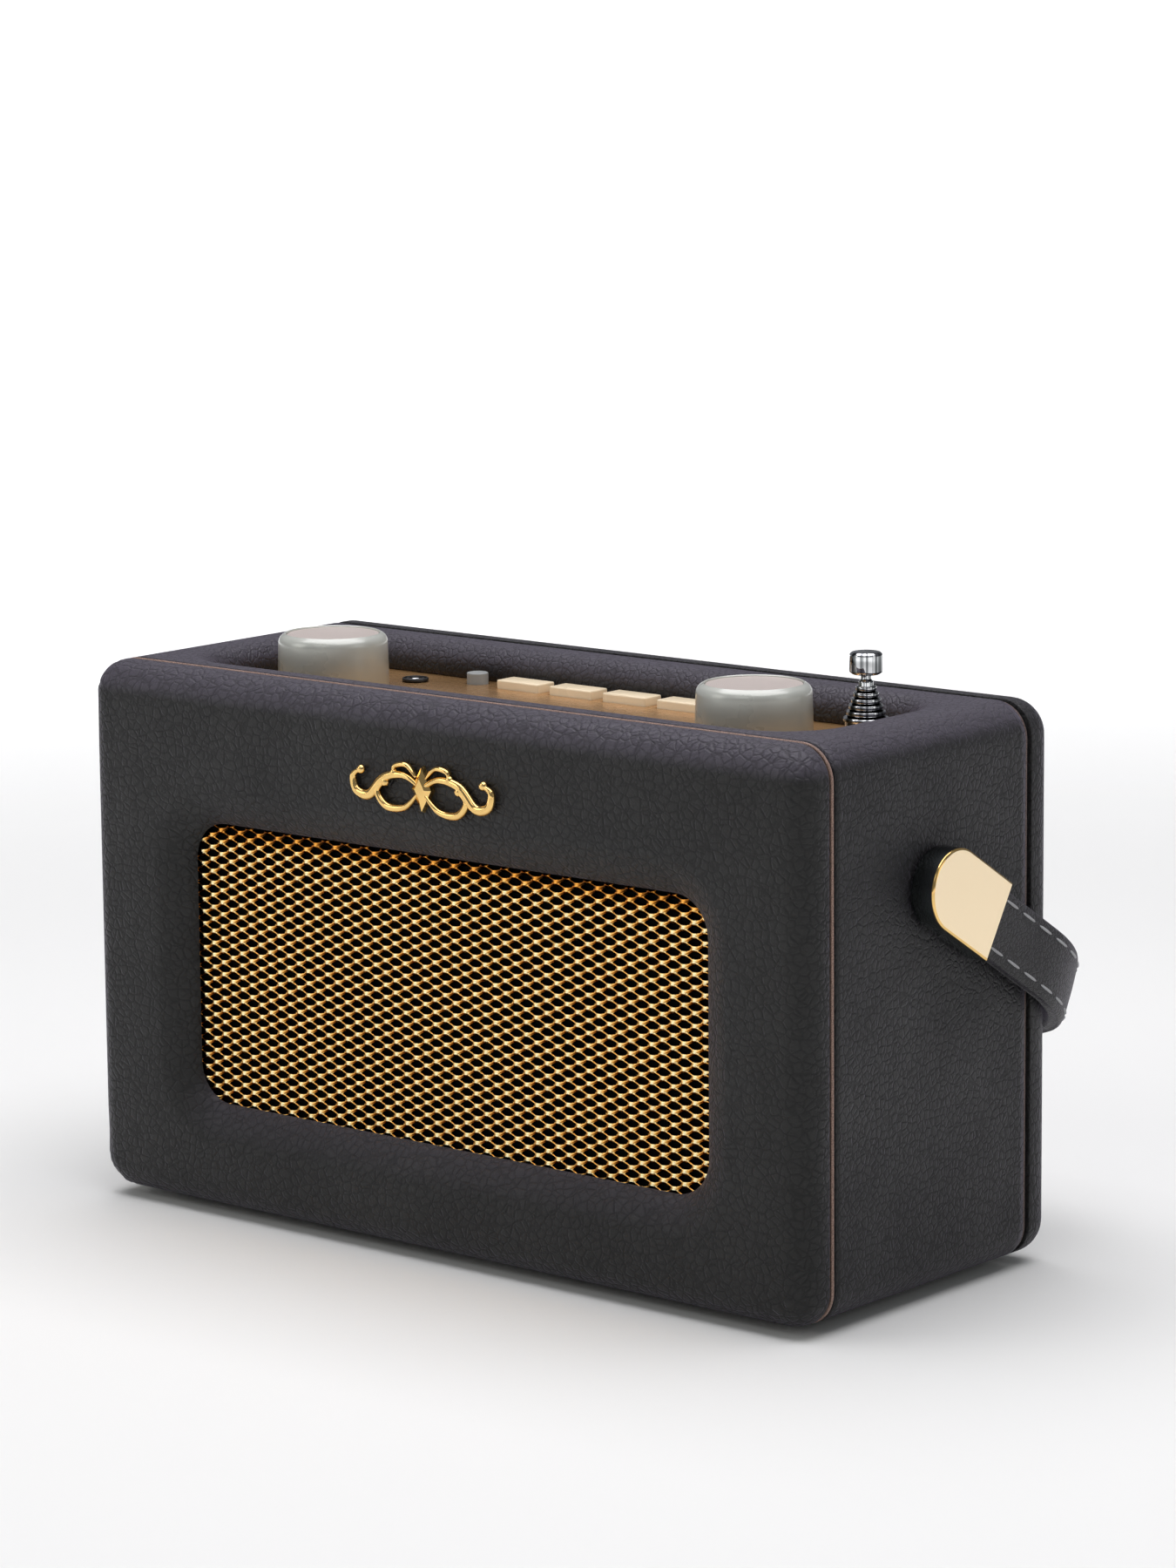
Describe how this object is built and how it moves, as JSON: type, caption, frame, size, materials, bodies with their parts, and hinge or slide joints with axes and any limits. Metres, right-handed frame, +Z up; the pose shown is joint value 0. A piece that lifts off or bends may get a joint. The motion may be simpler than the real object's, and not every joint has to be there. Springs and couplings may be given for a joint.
{
  "type": "portable radio",
  "caption": "Leather-covered portable radio with a recessed control well, knobs, push buttons, telescopic aerial, opening battery door and a strap handle that swings over the cabinet.",
  "frame": {"origin": "centre of the bounding box in X and Y, on the surface that the feet stand on", "axes": "+X to the radio's right as seen from the front, +Y towards its back, +Z up"},
  "size_m": [0.2232, 0.1152, 0.1391],
  "materials": {
    "leather_charcoal": "pebbled charcoal leather with a soft sheen",
    "piping_tan": "smooth copper-tan piping cord",
    "wood_board": "plain board, hidden under the leather",
    "gold_trim": "polished pale gold plating",
    "grille_gold": "gold-coloured expanded metal",
    "cloth_black": "black acoustic cloth",
    "brass_panel": "mirror-polished amber brass",
    "knob_pearl": "satin champagne lacquer",
    "knob_disc_spun": "spun-finished disc, warm tint",
    "button_ivory": "ivory plastic with a light gloss",
    "power_grey": "light grey plastic",
    "black_plastic": "black moulded plastic",
    "display_glass": "dark display window",
    "board_green": "green printed circuit board",
    "chrome_aerial": "bright chrome plating",
    "steel_plain": "plain zinc-plated steel",
    "cone_paper": "black pulp cone with a rubber surround",
    "rubber_black": "black rubber",
    "battery_film": "steel cells in blue shrink film"
  },
  "bodies": {
    "cabinet": {"cabinet_wrap": "leather_charcoal", "front_cover": "leather_charcoal", "back_cover": "leather_charcoal", "front_piping": "piping_tan", "back_piping": "piping_tan", "cabinet_shell": "wood_board", "front_board": "wood_board", "badge": "gold_trim", "grille": "grille_gold", "grille_cloth": "cloth_black", "control_panel": "brass_panel", "panel_chassis": "black_plastic", "display_module": "black_plastic", "headphone_socket": "black_plastic", "aerial_bracket": "black_plastic", "battery_tray": "black_plastic", "dc_socket": "black_plastic", "display_window": "display_glass", "control_board": "board_green", "main_board": "board_green", "aerial_sleeve": "chrome_aerial", "speaker_basket": "steel_plain", "volume_encoder": "steel_plain", "tuning_encoder": "steel_plain", "pivot_bush_left": "steel_plain", "pivot_bush_right": "steel_plain", "back_screw_top_left": "steel_plain", "back_screw_top_right": "steel_plain", "back_screw_bottom_left": "steel_plain", "back_screw_bottom_right": "steel_plain", "speaker_cone": "cone_paper", "foot_front_left": "rubber_black", "foot_front_right": "rubber_black", "foot_back_left": "rubber_black", "foot_back_right": "rubber_black", "battery_pack": "battery_film"},
    "handle": {"handle_strap": "leather_charcoal", "handle_cap_left": "gold_trim", "handle_cap_right": "gold_trim", "pivot_bolt_left": "steel_plain", "pivot_bolt_right": "steel_plain"},
    "volume_control": {"volume_knob": "knob_pearl", "volume_knob_disc": "knob_disc_spun", "volume_shaft": "steel_plain"},
    "tuning_control": {"tuning_knob": "knob_pearl", "tuning_knob_disc": "knob_disc_spun", "tuning_shaft": "steel_plain"},
    "power_key": {"power_button": "power_grey"},
    "preset_key_1": {"preset_button_1": "button_ivory"},
    "preset_key_2": {"preset_button_2": "button_ivory"},
    "preset_key_3": {"preset_button_3": "button_ivory"},
    "preset_key_4": {"preset_button_4": "button_ivory"},
    "preset_key_5": {"preset_button_5": "button_ivory"},
    "aerial_section_1": {"aerial_tube_1": "chrome_aerial"},
    "aerial_section_2": {"aerial_tube_2": "chrome_aerial"},
    "aerial_section_3": {"aerial_tube_3": "chrome_aerial"},
    "aerial_section_4": {"aerial_tube_4": "chrome_aerial"},
    "aerial_section_5": {"aerial_tube_5": "chrome_aerial"},
    "aerial_tip": {"aerial_rod": "chrome_aerial"},
    "battery_lid": {"battery_door": "black_plastic"}
  },
  "joints": [
    {"name": "handle_swing", "type": "hinge", "parent": "cabinet", "child": "handle", "pos_m": [0, -0.01129, 0.0914], "axis": [1, 0, 0], "range_deg": [-1, 244]},
    {"name": "volume_turn", "type": "hinge", "parent": "cabinet", "child": "volume_control", "pos_m": [-0.0618, -0.01799, 0.125], "axis": [0, 0, 1], "continuous": true},
    {"name": "tuning_turn", "type": "hinge", "parent": "cabinet", "child": "tuning_control", "pos_m": [0.0618, -0.01799, 0.125], "axis": [0, 0, 1], "continuous": true},
    {"name": "power_press", "type": "slide", "parent": "cabinet", "child": "power_key", "axis": [0, 0, -1], "range_m": [0, 0.0008], "stiffness_N_per_m": 400, "springref_m": -0.001},
    {"name": "preset_1_press", "type": "slide", "parent": "cabinet", "child": "preset_key_1", "axis": [0, 0, -1], "range_m": [0, 0.0008], "stiffness_N_per_m": 400, "springref_m": -0.001},
    {"name": "preset_2_press", "type": "slide", "parent": "cabinet", "child": "preset_key_2", "axis": [0, 0, -1], "range_m": [0, 0.0008], "stiffness_N_per_m": 400, "springref_m": -0.001},
    {"name": "preset_3_press", "type": "slide", "parent": "cabinet", "child": "preset_key_3", "axis": [0, 0, -1], "range_m": [0, 0.0008], "stiffness_N_per_m": 400, "springref_m": -0.001},
    {"name": "preset_4_press", "type": "slide", "parent": "cabinet", "child": "preset_key_4", "axis": [0, 0, -1], "range_m": [0, 0.0008], "stiffness_N_per_m": 400, "springref_m": -0.001},
    {"name": "preset_5_press", "type": "slide", "parent": "cabinet", "child": "preset_key_5", "axis": [0, 0, -1], "range_m": [0, 0.0008], "stiffness_N_per_m": 400, "springref_m": -0.001},
    {"name": "aerial_extend", "type": "slide", "parent": "cabinet", "child": "aerial_section_1", "axis": [0, 0, 1], "range_m": [0, 0.085]},
    {"name": "aerial_extend_2", "type": "slide", "parent": "aerial_section_1", "child": "aerial_section_2", "axis": [0, 0, 1], "range_m": [0, 0.085]},
    {"name": "aerial_extend_3", "type": "slide", "parent": "aerial_section_2", "child": "aerial_section_3", "axis": [0, 0, 1], "range_m": [0, 0.085]},
    {"name": "aerial_extend_4", "type": "slide", "parent": "aerial_section_3", "child": "aerial_section_4", "axis": [0, 0, 1], "range_m": [0, 0.085]},
    {"name": "aerial_extend_5", "type": "slide", "parent": "aerial_section_4", "child": "aerial_section_5", "axis": [0, 0, 1], "range_m": [0, 0.085]},
    {"name": "aerial_extend_6", "type": "slide", "parent": "aerial_section_5", "child": "aerial_tip", "axis": [0, 0, 1], "range_m": [0, 0.085]},
    {"name": "battery_door_open", "type": "hinge", "parent": "cabinet", "child": "battery_lid", "pos_m": [0, 0.03226, 0.01325], "axis": [-1, 0, 0], "range_deg": [0, 90]}
  ],
  "couplings": [
    {"joint": "aerial_extend_2", "follows": "aerial_extend", "ratio": 1},
    {"joint": "aerial_extend_3", "follows": "aerial_extend", "ratio": 1},
    {"joint": "aerial_extend_4", "follows": "aerial_extend", "ratio": 1},
    {"joint": "aerial_extend_5", "follows": "aerial_extend", "ratio": 1},
    {"joint": "aerial_extend_6", "follows": "aerial_extend", "ratio": 1}
  ]
}
